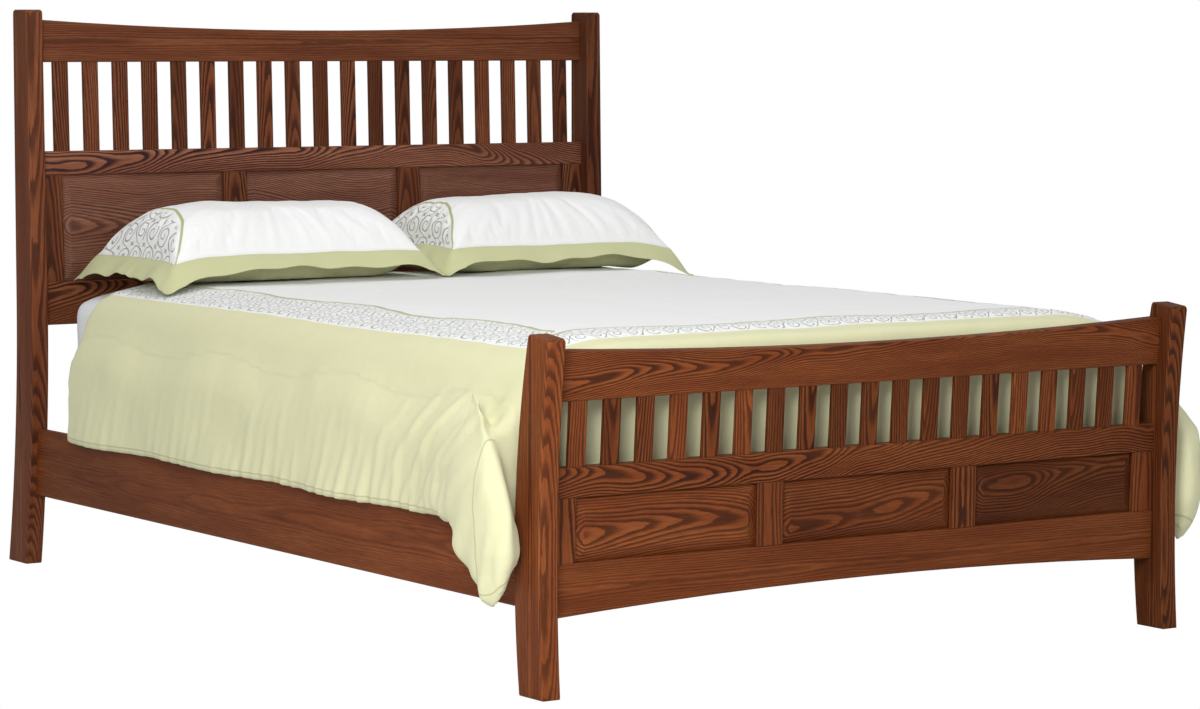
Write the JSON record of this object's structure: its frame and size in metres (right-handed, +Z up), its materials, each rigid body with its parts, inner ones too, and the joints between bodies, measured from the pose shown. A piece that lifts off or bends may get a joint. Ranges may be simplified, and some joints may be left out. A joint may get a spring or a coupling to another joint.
{
  "type": "slatted wooden bed",
  "caption": "Queen-size slatted wooden bed with curved posts, raised panels, hooked side rails, box spring, mattress, quilted comforter and flanged pillows.",
  "frame": {"origin": "centre of the bed's outline on the floor", "axes": "+X to the bed's right, +Y from the footboard to the headboard, +Z up"},
  "size_m": [1.829, 2.3624, 1.33],
  "materials": {
    "frame_wood": "satin stained oak",
    "panel_wood": "satin stained oak",
    "slat_wood": "plain sawn softwood",
    "steel": "zinc plated",
    "ticking": "woven cloth",
    "sheet": "woven cotton",
    "comforter_cloth": "soft woven cotton",
    "pillow_cover": "soft woven cotton"
  },
  "bodies": {
    "frame": {"cross_slat_1": "slat_wood", "cross_slat_2": "slat_wood", "cross_slat_3": "slat_wood", "cross_slat_4": "slat_wood", "cross_slat_5": "slat_wood", "foot_bottom_rail": "frame_wood", "foot_end_stile_left": "frame_wood", "foot_end_stile_right": "frame_wood", "foot_mid_rail": "frame_wood", "foot_panel_centre": "panel_wood", "foot_panel_left": "panel_wood", "foot_panel_right": "panel_wood", "foot_post_left": "frame_wood", "foot_post_right": "frame_wood", "foot_slats": "frame_wood", "foot_stile_left": "frame_wood", "foot_stile_right": "frame_wood", "foot_top_rail": "frame_wood", "head_bottom_rail": "frame_wood", "head_end_stile_left": "frame_wood", "head_end_stile_right": "frame_wood", "head_mid_rail": "frame_wood", "head_panel_centre": "panel_wood", "head_panel_left": "panel_wood", "head_panel_right": "panel_wood", "head_post_left": "frame_wood", "head_post_right": "frame_wood", "head_slats": "frame_wood", "head_stile_left": "frame_wood", "head_stile_right": "frame_wood", "head_top_rail": "frame_wood", "ledger_left": "slat_wood", "ledger_right": "slat_wood", "post_socket_plates": "steel", "rail_hook_plates": "steel", "side_rail_left": "frame_wood", "side_rail_right": "frame_wood"},
    "box_spring": {"box_spring": "ticking"},
    "mattress": {"mattress": "sheet"},
    "comforter": {"comforter": "comforter_cloth"},
    "pillow_left": {"pillow_left": "pillow_cover"},
    "pillow_right": {"pillow_right": "pillow_cover"}
  },
  "joints": [
    {"name": "box_spring_lift", "type": "slide", "parent": "frame", "child": "box_spring", "axis": [0, 0, 1], "range_m": [0, 0.55]},
    {"name": "mattress_lift", "type": "slide", "parent": "box_spring", "child": "mattress", "axis": [0, 0, 1], "range_m": [0, 0.35]},
    {"name": "comforter_lift", "type": "slide", "parent": "mattress", "child": "comforter", "axis": [0, 0, 1], "range_m": [0, 0.55]},
    {"name": "pillow_left_lift", "type": "slide", "parent": "comforter", "child": "pillow_left", "axis": [0, 0, 1], "range_m": [0, 0.25]},
    {"name": "pillow_right_lift", "type": "slide", "parent": "comforter", "child": "pillow_right", "axis": [0, 0, 1], "range_m": [0, 0.25]}
  ]
}
